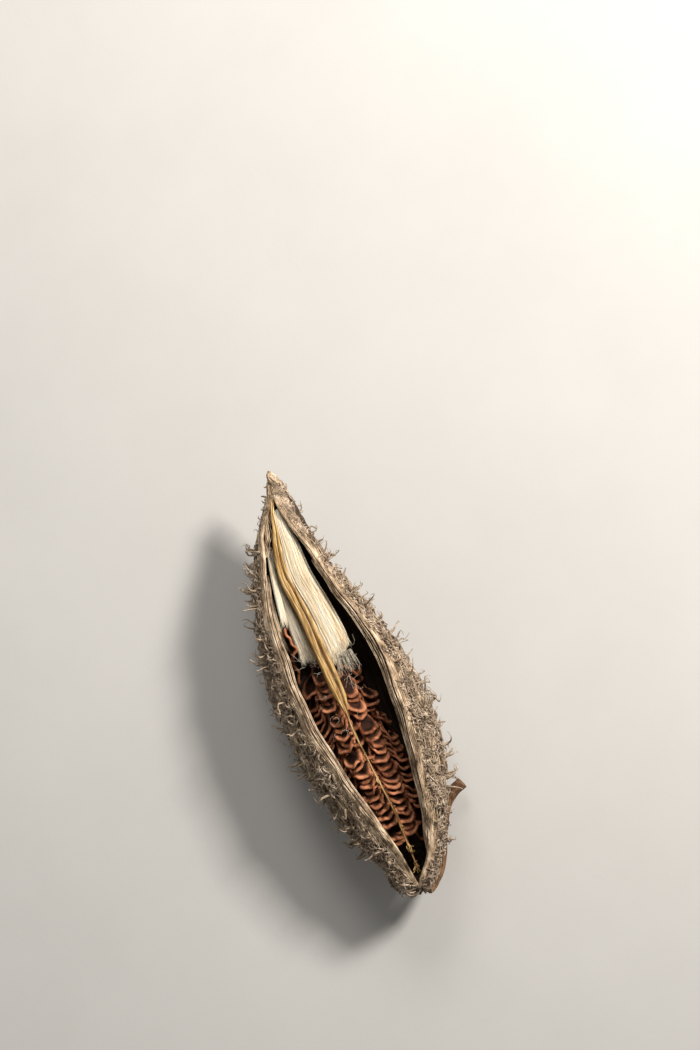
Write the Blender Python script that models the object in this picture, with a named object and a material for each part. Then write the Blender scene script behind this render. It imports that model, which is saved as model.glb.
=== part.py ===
"""A dry, split milkweed pod with its seeds and silk, lying on its back with the split facing up.

The beak points along +Y and the stalk's end along -Y. The pod rests on its belly at z = 0, and the
origin is on that surface, under the middle of the whole part.
"""

import math
import random

import bmesh
import bpy
import numpy as np
from mathutils import Matrix, Vector
from mathutils.bvhtree import BVHTree

MM = 0.001
BEAK_Y = 50.6
AXIS_X = -1.1

# Sections of the pod in millimetres. Each has its distance from the beak's tip, its outer edge on
# the left and right of the line from tip to base, the clear edges of the split, and the height of
# its middle and its half height. The split is shut where its two edges meet.
SECTIONS = np.array(
    (
        (0.0, 0.0, 0.0, 0.0, 0.0, 15.2, 0.0),
        (4.0, -1.6, 1.9, -0.6, -0.6, 15.0, 1.7),
        (8.0, -3.9, 2.7, -2.4, -0.6, 14.9, 3.2),
        (12.5, -6.5, 3.4, -4.7, 0.4, 14.7, 4.9),
        (20.0, -10.2, 4.7, -7.0, 2.1, 14.3, 7.3),
        (27.0, -12.0, 6.8, -8.6, 3.9, 13.9, 9.2),
        (38.0, -13.8, 10.9, -9.3, 7.0, 13.2, 11.8),
        (47.0, -14.7, 13.7, -9.2, 8.9, 12.8, 12.9),
        (57.0, -14.4, 15.4, -8.4, 9.1, 12.5, 13.0),
        (66.0, -13.3, 16.1, -6.4, 8.8, 12.4, 12.8),
        (74.0, -11.1, 15.1, -4.4, 8.3, 12.4, 11.8),
        (84.0, -8.3, 11.9, -1.7, 6.9, 12.3, 9.4),
        (92.0, -4.4, 8.3, 0.4, 4.9, 12.1, 6.2),
        (98.5, -1.8, 3.4, 1.2, 1.2, 11.9, 2.9),
        (100.6, 0.9, 0.9, 0.9, 0.9, 11.8, 0.0),
    )
)
LENGTH = SECTIONS[-1, 0]
SPLIT_START = 5.0
SPLIT_END = 98.5

HUSK_ROWS = 30
HUSK_COLUMNS = 24
HUSK_WALL = 1.3
LINING_ROWS = 26
LINING_COLUMNS = 18
LINING_START = 22.0
LINING_END = 91.0
LINING_GAP = 0.4
LINING_WALL = 0.5
RIM_DEPTH = HUSK_WALL + LINING_GAP + LINING_WALL
FULL_DEPTH_FROM = 13.5

PRICKLES = 96
PRICKLE_BASE = 0.75
PRICKLE_LENGTHS = (2.2, 4.2)
PRICKLE_ROOM = 4.0
CLEAR_OF_STALK = 6.5
CLEAR_OF_FLOOR = 2.5

SEED_LENGTH = 7.0
SEED_WIDTH = 4.4
SEED_EDGE = 0.55
SEED_CORE = 0.95
SEED_SIDES = 10
SEED_TILT = 26.0
SEED_PITCH = 3.15
SEED_GAP = 0.05
SEED_TRIES = 80

COLOURS = {
    "husk": (0.29, 0.20, 0.13),
    "lining": (0.42, 0.30, 0.19),
    "placenta": (0.55, 0.38, 0.18),
    "silk": (0.82, 0.74, 0.60),
    "seed": (0.26, 0.09, 0.04),
    "stalk": (0.24, 0.14, 0.07),
}
ROUGHNESS = {
    "husk": 0.95,
    "lining": 0.6,
    "placenta": 0.7,
    "silk": 0.4,
    "seed": 0.75,
    "stalk": 0.9,
}


def clear_scene():
    """An empty scene to build in."""
    for old in list(bpy.data.objects):
        bpy.data.objects.remove(old)


def material(kind):
    """The one material of a kind of piece."""
    made = bpy.data.materials.get(kind) or bpy.data.materials.new(kind)
    made.use_nodes = True
    shader = made.node_tree.nodes["Principled BSDF"]
    shader.inputs["Base Color"].default_value = (*COLOURS[kind], 1.0)
    shader.inputs["Roughness"].default_value = ROUGHNESS[kind]
    shader.inputs["Metallic"].default_value = 0.0
    return made


def add_object(name, data, kind):
    """An object with its material in the scene."""
    data.materials.append(material(kind))
    made = bpy.data.objects.new(name, data)
    bpy.context.scene.collection.objects.link(made)
    return made


def finish_mesh(bm, name):
    """A smooth-shaded mesh with its faces pointing out, from a bmesh."""
    bmesh.ops.recalc_face_normals(bm, faces=bm.faces[:])
    mesh = bpy.data.meshes.new(name)
    bm.to_mesh(mesh)
    bm.free()
    mesh.shade_smooth()
    mesh.set_sharp_from_angle(angle=math.radians(50))
    return mesh


def along(table, column, at):
    """A column of a table at a distance from the tip, on a smooth curve through its rows."""
    places, values = table[:, 0], table[:, column]
    slopes = np.gradient(values, places)
    row = int(np.clip(np.searchsorted(places, at) - 1, 0, len(places) - 2))
    step = places[row + 1] - places[row]
    t = (at - places[row]) / step
    start = values[row] * (1 + 2 * t) + slopes[row] * step * t
    end = values[row + 1] * (3 - 2 * t) - slopes[row + 1] * step * (1 - t)
    return float((1 - t) ** 2 * start + t**2 * end)


def place(from_tip, across, height):
    """A point of the part, from millimetres along, across and above the resting surface."""
    return Vector((across + AXIS_X, BEAK_Y - from_tip, height)) * MM


def section_middle(from_tip):
    """The middle of the pod at a distance from the tip."""
    left, right, _, _, height, _ = (along(SECTIONS, c, from_tip) for c in range(1, 7))
    return place(from_tip, (left + right) / 2, height)


def skin_point(from_tip, around, inset):
    """A point of the pod's skin, or of a skin inset from it.

    around runs from 0 at the split's left edge, under the belly, to 1 at its right edge. The wall
    and all its layers are thinner where the pod is narrow.
    """
    left, right, split_left, split_right, middle_z, half_z = (
        along(SECTIONS, column, from_tip) for column in range(1, 7)
    )
    middle = (left + right) / 2
    half_x = max((right - left) / 2, 1e-6)
    if not SPLIT_START < from_tip < SPLIT_END:
        split_left = split_right = (split_left + split_right) / 2
    thinner = min(1.0, half_x / FULL_DEPTH_FROM)
    clear = half_x - RIM_DEPTH * thinner
    left_turn = math.asin(np.clip((middle - split_left) / clear, -0.99, 0.99))
    right_turn = math.asin(np.clip((split_right - middle) / clear, -0.99, 0.99))
    turn = -left_turn - around * (2 * math.pi - left_turn - right_turn)
    thin = inset * thinner
    across = middle + (half_x - thin) * math.sin(turn)
    height = middle_z + (max(half_z, 1e-6) - thin) * math.cos(turn)
    return place(from_tip, across, max(height, thin))


def add_skin(bm, inset, start, end, rows, columns, shut_early=None):
    """One skin of the pod as a sheet, shut along the beak.

    shut_early shuts its two ends to points as well, that far short of the sheet's own ends.
    """
    sheet = bmesh.ops.create_grid(bm, x_segments=columns, y_segments=rows, size=0.5)
    for corner in sheet["verts"]:
        even = corner.co.y + 0.5
        drawn_in = 0.5 * even + 0.25 * (1 - math.cos(math.pi * even))
        from_tip = start + (end - start) * drawn_in
        at_end = min(even, 1 - even) < 1e-4
        if shut_early is not None and at_end:
            from_tip = np.clip(from_tip, start + shut_early, end - shut_early)
            corner.co = section_middle(from_tip)
        else:
            corner.co = skin_point(from_tip, corner.co.x + 0.5, inset)
    bmesh.ops.remove_doubles(bm, verts=sheet["verts"], dist=0.002 * MM)


def wall_between(bm):
    """Joins the open edges of two skins round the split."""
    open_edges = [edge for edge in bm.edges if edge.is_boundary]
    bmesh.ops.bridge_loops(bm, edges=open_edges)


def grow_prickle(bm, face, length, lean):
    """A soft hooked prickle pulled out of one face of the skin."""
    root = face.calc_center_median()
    outward = face.normal.copy()
    bmesh.ops.inset_individual(bm, faces=[face], thickness=0.3 * MM)
    for corner in face.verts:
        corner.co = root + (corner.co - root).normalized() * PRICKLE_BASE * MM
    for height, width, hook in ((0.55, 0.42, 0.1), (1.0, 0.14, 0.45)):
        grown = bmesh.ops.extrude_discrete_faces(bm, faces=[face])
        face = grown["faces"][0]
        middle = root + (outward * height + lean * hook) * length * MM
        old = face.calc_center_median()
        for corner in face.verts:
            corner.co = middle + (corner.co - old).normalized() * width * MM


def make_husk(stalk_points):
    """The pod's felted wall: its outer skin with prickles, its inner face, and the split's rim."""
    draw = random.Random(11)
    bm = bmesh.new()
    add_skin(bm, 0.0, 0.0, LENGTH, HUSK_ROWS, HUSK_COLUMNS, shut_early=0.0)
    bmesh.ops.recalc_face_normals(bm, faces=bm.faces[:])
    if sum(face.normal.z * face.calc_area() for face in bm.faces) > 0:
        bmesh.ops.reverse_faces(bm, faces=bm.faces[:])
    rooms = []
    for face in bm.faces:
        middle = face.calc_center_median()
        at_rim = any(edge.is_boundary for edge in face.edges)
        near_stalk = min((middle - point).length for point in stalk_points) < CLEAR_OF_STALK * MM
        flat_down = face.normal.z < -0.8 or middle.z < CLEAR_OF_FLOOR * MM
        wide_enough = face.calc_area() > PRICKLE_ROOM * MM**2 and len(face.verts) == 4
        if wide_enough and not (at_rim or near_stalk or flat_down):
            rooms.append(face)
    for face in draw.sample(rooms, PRICKLES):
        length = draw.uniform(*PRICKLE_LENGTHS)
        lean = Vector((draw.uniform(-0.3, 0.3), draw.uniform(0.3, 1.0), draw.uniform(-0.3, 0.3)))
        grow_prickle(bm, face, length, lean)
    for corner in bm.verts:
        corner.co.z = max(corner.co.z, 0.0)
    add_skin(bm, HUSK_WALL, 0.0, LENGTH, HUSK_ROWS, HUSK_COLUMNS, shut_early=0.9)
    wall_between(bm)
    return add_object("husk", finish_mesh(bm, "husk"), "husk")


def make_lining():
    """The papery inner skin that has come away from the husk's wall."""
    outer = HUSK_WALL + LINING_GAP
    bm = bmesh.new()
    for inset in (outer, outer + LINING_WALL):
        add_skin(bm, inset, LINING_START, LINING_END, LINING_ROWS, LINING_COLUMNS)
    wall_between(bm)
    return add_object("inner_lining", finish_mesh(bm, "inner_lining"), "lining")


def loft(name, kind, rings):
    """A closed body through rings of points, with its first and last ring filled."""
    bm = bmesh.new()
    previous = None
    for ring in rings:
        corners = [bm.verts.new(point) for point in ring]
        edges = [bm.edges.new((a, b)) for a, b in zip(corners, corners[1:] + corners[:1])]
        if previous is None:
            bm.faces.new(corners)
        else:
            bmesh.ops.bridge_loops(bm, edges=previous + edges)
        previous = edges
    bm.faces.new(corners)
    return add_object(name, finish_mesh(bm, name), kind)


def oval_ring(from_tip, left, right, top, bottom, sides):
    """An oval ring across the pod, between two edges and two heights."""
    ring = []
    for side in range(sides):
        turn = 2 * math.pi * side / sides
        across = (left + right) / 2 + (right - left) / 2 * math.cos(turn)
        height = (top + bottom) / 2 + (top - bottom) / 2 * math.sin(turn)
        ring.append(place(from_tip, across, height))
    return ring


def make_silk(name, table, rows, sides):
    """A bundle of silk as a tapering body. Its table has left, right, top and bottom edges."""
    table = np.array(table)
    rings = []
    for from_tip in np.linspace(table[0, 0], table[-1, 0], rows):
        edges = [along(table, column, from_tip) for column in range(1, 5)]
        rings.append(oval_ring(from_tip, *edges, sides))
    return loft(name, "silk", rings)


# The placenta: distance from the tip, middle of its two ribs, their height, their width over
# both, their thickness, and how far its thin web reaches down between the silk and the seeds.
PLACENTA = np.array(
    (
        (9.5, -2.3, 16.7, 0.7, 0.6, 0.7),
        (12.0, -2.7, 17.3, 1.0, 0.75, 0.9),
        (16.0, -3.5, 17.9, 1.9, 1.0, 1.4),
        (22.0, -4.4, 18.5, 2.5, 1.2, 3.6),
        (34.0, -3.0, 19.2, 2.9, 1.3, 5.5),
        (44.0, -2.2, 19.6, 2.9, 1.3, 2.4),
        (52.0, -1.5, 19.8, 2.6, 1.2, 1.4),
        (55.7, -1.2, 19.7, 1.2, 0.9, 0.9),
        (62.0, -0.8, 19.4, 0.8, 0.7, 0.7),
        (70.0, 0.2, 19.0, 0.8, 0.7, 0.7),
        (81.0, 1.9, 17.9, 0.8, 0.7, 0.7),
        (88.0, 2.1, 16.6, 0.8, 0.7, 0.7),
        (94.0, 2.3, 14.8, 0.6, 0.6, 0.6),
    )
)
PLACENTA_ROWS = 34
WEB_HALF = 0.36


def make_placenta():
    """The flat stem inside the pod that carried the seeds: two ribs on a thin web."""
    rings = []
    for from_tip in np.linspace(PLACENTA[0, 0], PLACENTA[-1, 0], PLACENTA_ROWS):
        middle, top, width, thick, depth = (
            along(PLACENTA, column, from_tip) for column in range(1, 6)
        )
        half = width / 2
        web = min(WEB_HALF, 0.8 * half)
        low = max(depth, thick + 0.05)
        outline = (
            (0.0, top - 0.25 * thick),
            (0.55 * half, top),
            (half, top - 0.5 * thick),
            (0.7 * half, top - thick),
            (web, top - thick - 0.02),
            (web, top - low),
            (-web, top - low),
            (-web, top - thick - 0.02),
            (-0.7 * half, top - thick),
            (-half, top - 0.5 * thick),
            (-0.55 * half, top),
        )
        rings.append([place(from_tip, middle + x, z) for x, z in outline])
    return loft("placenta", "placenta", rings)


# Points of the stalk: distance from the tip, across, height and radius.
STALK = (
    (100.1, 2.6, 10.0, 1.25),
    (99.2, 4.5, 8.7, 1.2),
    (96.3, 7.2, 7.1, 1.15),
    (92.6, 9.0, 5.7, 1.1),
    (88.5, 10.7, 4.6, 1.1),
    (84.6, 12.7, 3.9, 1.15),
    (82.0, 15.2, 3.7, 1.2),
    (80.6, 18.0, 4.0, 1.3),
)
STALK_STEPS = 18


def stalk_route():
    """Points and radii on a smooth curve through the stalk's own points."""
    table = np.array([(index, *point) for index, point in enumerate(STALK)], float)
    route = []
    for at in np.linspace(0, len(STALK) - 1, STALK_STEPS):
        from_tip, across, height, radius = (along(table, c, at) for c in range(1, 5))
        route.append((place(from_tip, across, height), radius))
    return route


def make_stalk(route):
    """The dry stalk that curls from the pod's base up beside its right wall, with a cut end."""
    curve = bpy.data.curves.new("stalk", "CURVE")
    curve.dimensions = "3D"
    curve.bevel_depth = MM
    curve.bevel_resolution = 2
    curve.use_fill_caps = True
    spline = curve.splines.new("POLY")
    spline.points.add(len(route) - 1)
    for point, (centre, radius) in zip(spline.points, route):
        point.co = (*centre, 1.0)
        point.radius = radius
    return add_object("stalk", curve, "stalk")


def make_seed_mesh():
    """A flat seed with a thin corky margin round a thicker core, narrow where its silk grew."""
    bm = bmesh.new()
    bmesh.ops.create_circle(bm, cap_ends=True, segments=SEED_SIDES, radius=1.0)
    lifted = bmesh.ops.extrude_face_region(bm, geom=bm.faces[:])
    raised = [item for item in lifted["geom"] if isinstance(item, bmesh.types.BMVert)]
    bmesh.ops.translate(bm, verts=raised, vec=(0, 0, 1))
    flats = [face for face in bm.faces if len(face.verts) == SEED_SIDES]
    bmesh.ops.inset_individual(bm, faces=flats, thickness=0.3)
    cores = bmesh.ops.poke(bm, faces=flats)["verts"]
    for corner in bm.verts:
        side = 1 if corner.co.z > 0.5 else -1
        x, y = corner.co.x, corner.co.y
        thick = SEED_CORE if corner in cores else SEED_EDGE
        across = x * (1 - 0.32 * y) * SEED_WIDTH / 2
        lengthways = y * SEED_LENGTH / 2
        bowed = -0.035 * across**2 - 0.02 * lengthways**2
        corner.co = Vector((across, lengthways, side * thick / 2 + bowed)) * MM
    return finish_mesh(bm, "seed")


# The seed mass: distance from the tip, its middle across and in height, and its radius.
SEED_MASS = np.array(
    (
        (40.0, -2.4, 10.8, 4.6),
        (46.0, -2.0, 10.3, 6.6),
        (54.0, -1.3, 10.0, 8.0),
        (64.0, -0.2, 9.9, 8.5),
        (74.0, 1.0, 10.1, 7.6),
        (82.0, 1.9, 10.5, 5.6),
        (88.0, 2.2, 11.0, 3.6),
    )
)
# Each column of seeds: its angle from straight up, its first place from the tip, and its seeds.
SEED_COLUMNS = (
    (-63.0, 47.8, 11),
    (-24.0, 46.2, 13),
    (24.0, 47.6, 12),
    (63.0, 46.4, 11),
)
# Seeds that left the mass: place from the tip, across, height, and turns about X, Y and Z.
STRAY_SEEDS = (
    (37.8, -8.3, 16.0, 4.0, -74.0, -3.0),
    (43.8, -9.3, 13.2, 6.0, -70.0, -2.0),
    (86.0, 5.6, 10.0, 14.0, 74.0, 6.0),
)


def seed_pose(from_tip, angle, tilt, twist, roll):
    """Where a seed lies on the mass: its round end outward and towards the pod's base."""
    across, height, radius = (along(SEED_MASS, column, from_tip) for column in range(1, 4))
    turn = math.radians(angle)
    outward = Vector((math.sin(turn), 0, math.cos(turn)))
    spot = Vector(place(from_tip, across, height)) + outward * (radius - 1.4) * MM
    upright = Matrix.Rotation(turn, 4, "Y") @ Matrix.Rotation(math.radians(-tilt), 4, "X")
    own = Matrix.Rotation(math.radians(twist), 4, "Z") @ Matrix.Rotation(math.radians(roll), 4, "Y")
    return Matrix.Translation(spot) @ upright @ own


def tree_of(mesh, matrix, grow=0.0):
    """A search tree of a mesh in its place, grown outward by a small gap."""
    corners = [matrix @ (v.co + v.normal * grow * MM) for v in mesh.vertices]
    return BVHTree.FromPolygons(corners, [tuple(face.vertices) for face in mesh.polygons])


def fits(tree, others):
    """Whether a shape touches none of the others."""
    return not any(tree.overlap(other) for other in others)


def make_seeds(neighbours):
    """Seeds in overlapping columns on the mass, and the loose ones, each clear of all others."""
    draw = random.Random(5)
    mesh = make_seed_mesh()
    mesh.materials.append(material("seed"))
    placed = list(neighbours)
    poses = []
    plans = []
    for angle, start, count in SEED_COLUMNS:
        for row in range(count):
            plans.append((start + row * SEED_PITCH, angle))
    for from_tip, angle in sorted(plans):
        loose = 1.6 if angle < 0 else 1.0
        for attempt in range(SEED_TRIES):
            calm = 1 - attempt / SEED_TRIES
            pose = seed_pose(
                from_tip + draw.uniform(-0.4, 0.4),
                angle + draw.uniform(-4, 4) * loose * calm,
                SEED_TILT + draw.uniform(-3, 4) * calm,
                draw.uniform(-10, 10) * loose * calm,
                draw.uniform(-9, 9) * loose * calm,
            )
            pose = pose @ Matrix.Scale(0.86 + 0.13 * calm, 4)
            tree = tree_of(mesh, pose, SEED_GAP)
            if fits(tree, placed):
                placed.append(tree)
                poses.append(pose)
                break
    for from_tip, across, height, about_x, about_y, about_z in STRAY_SEEDS:
        turn = Matrix.Rotation(math.radians(about_z), 4, "Z")
        turn @= Matrix.Rotation(math.radians(about_y), 4, "Y")
        turn @= Matrix.Rotation(math.radians(about_x), 4, "X")
        poses.append(Matrix.Translation(place(from_tip, across, height)) @ turn)
    for number, pose in enumerate(poses, 1):
        seed = bpy.data.objects.new(f"seed_{number:02d}", mesh)
        seed.matrix_world = pose
        bpy.context.scene.collection.objects.link(seed)


clear_scene()
route = stalk_route()
make_stalk(route)
husk = make_husk([centre for centre, radius in route])
lining = make_lining()
placenta = make_placenta()

# Bundles of silk: distance from the tip, left edge, right edge, top and bottom.
silk_right = make_silk(
    "silk_right",
    (
        (9.5, -1.6, -0.3, 16.3, 15.1),
        (12.0, -1.85, 0.0, 16.9, 14.8),
        (17.0, -2.5, 0.8, 17.6, 13.9),
        (23.0, -2.9, 1.2, 18.1, 12.9),
        (33.0, -1.3, 3.2, 18.7, 12.0),
        (40.0, -0.5, 4.2, 18.8, 14.8),
        (45.0, -0.2, 4.2, 18.6, 17.0),
    ),
    12,
    12,
)
silk_left = make_silk(
    "silk_left",
    (
        (17.0, -5.6, -4.9, 16.0, 15.0),
        (23.0, -6.9, -5.9, 16.2, 12.8),
        (33.0, -7.0, -4.7, 16.9, 11.4),
        (38.0, -6.9, -4.2, 17.1, 13.0),
        (43.0, -6.6, -4.0, 17.0, 15.6),
    ),
    10,
    10,
)
silk_strand_1 = make_silk(
    "silk_strand_1",
    (
        (17.0, -6.2, -5.7, 17.0, 16.5),
        (24.7, -7.4, -6.3, 17.7, 16.8),
        (29.0, -7.9, -6.7, 18.0, 17.1),
        (33.9, -8.4, -7.2, 18.0, 17.1),
    ),
    8,
    8,
)
silk_strand_2 = make_silk(
    "silk_strand_2",
    (
        (25.0, -8.8, -8.3, 15.4, 14.9),
        (32.0, -9.8, -8.9, 15.4, 14.6),
        (39.2, -9.9, -9.0, 15.0, 14.2),
    ),
    8,
    8,
)

inside = (husk, lining, placenta, silk_right, silk_left, silk_strand_1, silk_strand_2)
make_seeds([tree_of(piece.data, piece.matrix_world) for piece in inside])
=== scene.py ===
import math

import bmesh
import bpy
import numpy as np
from mathutils import Euler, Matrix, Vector, noise
from mathutils.bvhtree import BVHTree
from mathutils.kdtree import KDTree


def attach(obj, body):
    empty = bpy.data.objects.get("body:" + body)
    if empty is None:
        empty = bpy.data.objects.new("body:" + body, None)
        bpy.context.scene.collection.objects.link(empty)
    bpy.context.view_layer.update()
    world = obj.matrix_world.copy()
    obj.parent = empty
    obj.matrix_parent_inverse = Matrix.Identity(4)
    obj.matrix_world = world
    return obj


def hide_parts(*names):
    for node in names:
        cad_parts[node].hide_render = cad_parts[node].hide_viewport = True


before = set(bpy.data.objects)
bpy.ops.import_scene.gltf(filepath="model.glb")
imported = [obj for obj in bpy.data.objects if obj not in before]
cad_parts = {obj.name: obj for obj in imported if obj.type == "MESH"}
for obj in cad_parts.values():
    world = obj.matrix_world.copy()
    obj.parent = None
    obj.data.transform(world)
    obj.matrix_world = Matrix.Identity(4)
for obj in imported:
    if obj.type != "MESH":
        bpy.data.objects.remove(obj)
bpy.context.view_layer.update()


# The husk is the pod's wall: one thick leaf that grew shut round the seeds, dried, and split along
# its upper seam. Outside it is spongy and felted. Inside it is smooth. The whole wall is coloured
# dark brown, darkened nearly to black: painted shade in the pits between the curls and in the hollow.
MM = 0.001
beak = max((corner.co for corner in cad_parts["husk"].data.vertices), key=lambda at: at.y)
AXIS_X, BEAK_Y = beak.x / MM, beak.y / MM

# Sections in millimetres: distance from the beak's tip, outer edge on the left and on the right of
# the line from tip to base, clear edges of the split, height of the middle, half height.
SECTIONS = np.array(
    (
        (0.0, 0.0, 0.0, 0.0, 0.0, 15.2, 0.0),
        (4.0, -1.6, 1.9, -0.6, -0.6, 15.0, 1.7),
        (8.0, -3.9, 2.7, -2.4, -0.6, 14.9, 3.2),
        (12.5, -6.5, 3.4, -4.7, 0.4, 14.7, 4.9),
        (20.0, -10.2, 4.7, -7.0, 2.1, 14.3, 7.3),
        (27.0, -12.0, 6.8, -8.6, 3.9, 13.9, 9.2),
        (38.0, -13.8, 10.9, -9.3, 7.0, 13.2, 11.8),
        (47.0, -14.7, 13.7, -9.2, 8.9, 12.8, 12.9),
        (57.0, -14.4, 15.4, -8.4, 9.1, 12.5, 13.0),
        (66.0, -13.3, 16.1, -6.4, 8.8, 12.4, 12.8),
        (74.0, -11.1, 15.1, -4.4, 8.3, 12.4, 11.8),
        (84.0, -8.3, 11.9, -1.7, 6.9, 12.3, 9.4),
        (92.0, -4.4, 8.3, 0.4, 4.9, 12.1, 6.2),
        (98.5, -1.8, 3.4, 1.2, 1.2, 11.9, 2.9),
        (100.6, 0.9, 0.9, 0.9, 0.9, 11.8, 0.0),
    )
)
POD_LENGTH = SECTIONS[-1, 0]
SPLIT_START, SPLIT_END = 5.0, 98.5
HUSK_WALL = 1.3
LINING_GAP = 0.4
LINING_WALL = 0.5
RIM_DEPTH = HUSK_WALL + LINING_GAP + LINING_WALL
FULL_DEPTH_FROM = 13.5
WALL_ROWS, WALL_COLUMNS = 230, 120
# Without a seed of its own, vector noise is different in each run.
WANDER_SEED = 3
noise.seed_set(WANDER_SEED)


def column_at(table, column, at):
    """A column of a table at distances from the tip, on a smooth curve through its rows."""
    places, values = table[:, 0], table[:, column]
    slopes = np.gradient(values, places)
    row = np.clip(np.searchsorted(places, at) - 1, 0, len(places) - 2)
    step = places[row + 1] - places[row]
    t = (at - places[row]) / step
    start = values[row] * (1 + 2 * t) + slopes[row] * step * t
    end = values[row + 1] * (3 - 2 * t) - slopes[row + 1] * step * (1 - t)
    return (1 - t) ** 2 * start + t**2 * end


def spot(from_tip, across, height):
    """Points in metres, from millimetres along, across and above the surface the pod lies on."""
    parts = np.broadcast_arrays(np.add(across, AXIS_X), np.subtract(BEAK_Y, from_tip), height)
    return np.stack(parts, axis=-1) * MM


def section_middle(from_tip):
    """The middle of the pod's cross-section at distances from the tip."""
    left, right, height = (column_at(SECTIONS, column, from_tip) for column in (1, 2, 5))
    return spot(from_tip, (left + right) / 2, height)


def skin(from_tip, around, inset=0.0):
    """Points of the pod's smooth skin, or of a skin inset from it.

    around runs from 0 at the split's left edge, under the belly, to 1 at its right edge.
    """
    from_tip = np.asarray(from_tip, float)
    left, right, split_left, split_right, middle_z, half_z = (
        column_at(SECTIONS, column, from_tip) for column in range(1, 7)
    )
    shut = (from_tip <= SPLIT_START) | (from_tip >= SPLIT_END)
    seam = (split_left + split_right) / 2
    split_left = np.where(shut, seam, split_left)
    split_right = np.where(shut, seam, split_right)
    middle = (left + right) / 2
    half_x = np.maximum((right - left) / 2, 1e-6)
    thinner = np.minimum(1.0, half_x / FULL_DEPTH_FROM)
    clear = half_x - RIM_DEPTH * thinner
    left_turn = np.arcsin(np.clip((middle - split_left) / clear, -0.99, 0.99))
    right_turn = np.arcsin(np.clip((split_right - middle) / clear, -0.99, 0.99))
    turn = -left_turn - around * (2 * math.pi - left_turn - right_turn)
    thin = inset * thinner
    across = middle + (half_x - thin) * np.sin(turn)
    height = middle_z + (np.maximum(half_z, 1e-6) - thin) * np.cos(turn)
    return spot(from_tip, across, np.maximum(height, thin))


def skin_frame(from_tip, around):
    """The skin's directions out, along and across at some places, and its girth in metres."""
    nudge = 1e-3
    girth = (skin(from_tip, around + nudge) - skin(from_tip, around - nudge)) / (2 * nudge)
    lengthways = skin(from_tip + nudge, around) - skin(from_tip - nudge, around)
    out = np.cross(girth, lengthways)
    out /= np.linalg.norm(out, axis=-1, keepdims=True) + 1e-30
    from_middle = skin(from_tip, around) - section_middle(from_tip)
    out *= np.where((out * from_middle).sum(axis=-1, keepdims=True) < 0, -1, 1)
    lengthways /= np.linalg.norm(lengthways, axis=-1, keepdims=True) + 1e-30
    return out, lengthways, np.cross(out, lengthways), np.linalg.norm(girth, axis=-1)


def from_rim(from_tip, around):
    """Millimetres along the skin from the nearer edge of the split."""
    return np.minimum(around, 1 - around) * skin_frame(from_tip, around)[3] / MM


def bumps(points, size):
    """Smooth random heights between about -1 and 1 at points in metres, for lumps of a size in mm."""
    return np.array([noise.noise(Vector(at) / (size * MM)) for at in points])


def course(places, size, phase):
    """A smooth random line of heights between about -1 and 1 along places, waving over a size."""
    return np.array([noise.noise(Vector((at / size, phase, 0))) for at in places])


def gnarled(points, reach=0.4, size=6.0):
    """Points moved by a smooth wander in millimetres, because nothing on a dry pod runs true."""
    return np.array([Vector(at) + noise.noise_vector(Vector(at) / (size * MM)) * reach * MM for at in points])


def lumps(from_tip, around):
    """How far the felted wall swells out past the smooth skin, in millimetres."""
    places = skin(from_tip, around)
    rising = np.clip((from_rim(from_tip, around) - 1.0) / 3.0, 0, 1)
    narrow = np.clip(np.minimum(from_tip, POD_LENGTH - from_tip) / 12.0, 0, 1)
    shaggy = 1.0 + 0.8 * np.clip((0.45 - around) / 0.3, 0, 1)
    swell = 0.25 + 0.55 * bumps(places, 5.0) * shaggy + 0.28 * bumps(places, 1.9)
    return rising * narrow * swell


def above_floor(points, radius=0.0):
    """The same points, with none lower than a radius above what the pod lies on."""
    points[..., 2] = np.maximum(points[..., 2], radius)
    return points


def wall_sheet(bm, inset, start, end, rows, columns, shut_early=None):
    """One skin of the pod as a sheet of faces. shut_early draws its ends to points, that far in."""
    sheet = bmesh.ops.create_grid(bm, x_segments=columns, y_segments=rows, size=0.5)["verts"]
    flat = np.array([corner.co for corner in sheet]) + 0.5
    around, even = flat[:, 0], flat[:, 1]
    from_tip = start + (end - start) * (0.5 * even + 0.25 * (1 - np.cos(np.pi * even)))
    places = skin(from_tip, around, inset)
    if inset == 0.0:
        places += skin_frame(from_tip, around)[0] * lumps(from_tip, around)[:, None] * MM
    if shut_early is not None:
        ends = np.minimum(even, 1 - even) < 1e-4
        places[ends] = section_middle(np.clip(from_tip[ends], start + shut_early, end - shut_early))
    for corner, place in zip(sheet, above_floor(gnarled(places), inset * MM)):
        corner.co = place
    bmesh.ops.remove_doubles(bm, verts=sheet, dist=0.002 * MM)


def join_skins(bm, cuts):
    """Joins the open edges of two skins round the split, with rows of faces across the rim."""
    open_edges = [edge for edge in bm.edges if edge.is_boundary]
    across = bmesh.ops.bridge_loops(bm, edges=open_edges)["edges"]
    bmesh.ops.subdivide_edges(bm, edges=across, cuts=cuts, use_grid_fill=True)


def finish_mesh(bm, name):
    """A smooth-shaded mesh with its faces turned outward, from a mesh being edited."""
    bmesh.ops.recalc_face_normals(bm, faces=bm.faces[:])
    mesh = bpy.data.meshes.new(name)
    bm.to_mesh(mesh)
    bm.free()
    mesh.shade_smooth()
    return mesh


def add_piece(name, mesh, finish, materials, *stands_for):
    """A piece of the pod, riding on it, standing for its plain solids. finish is not used."""
    for material in materials:
        mesh.materials.append(material)
    piece = bpy.data.objects.new(name, mesh)
    bpy.context.scene.collection.objects.link(piece)
    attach(piece, "root")
    if stands_for:
        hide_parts(*stands_for)
    return piece


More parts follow.
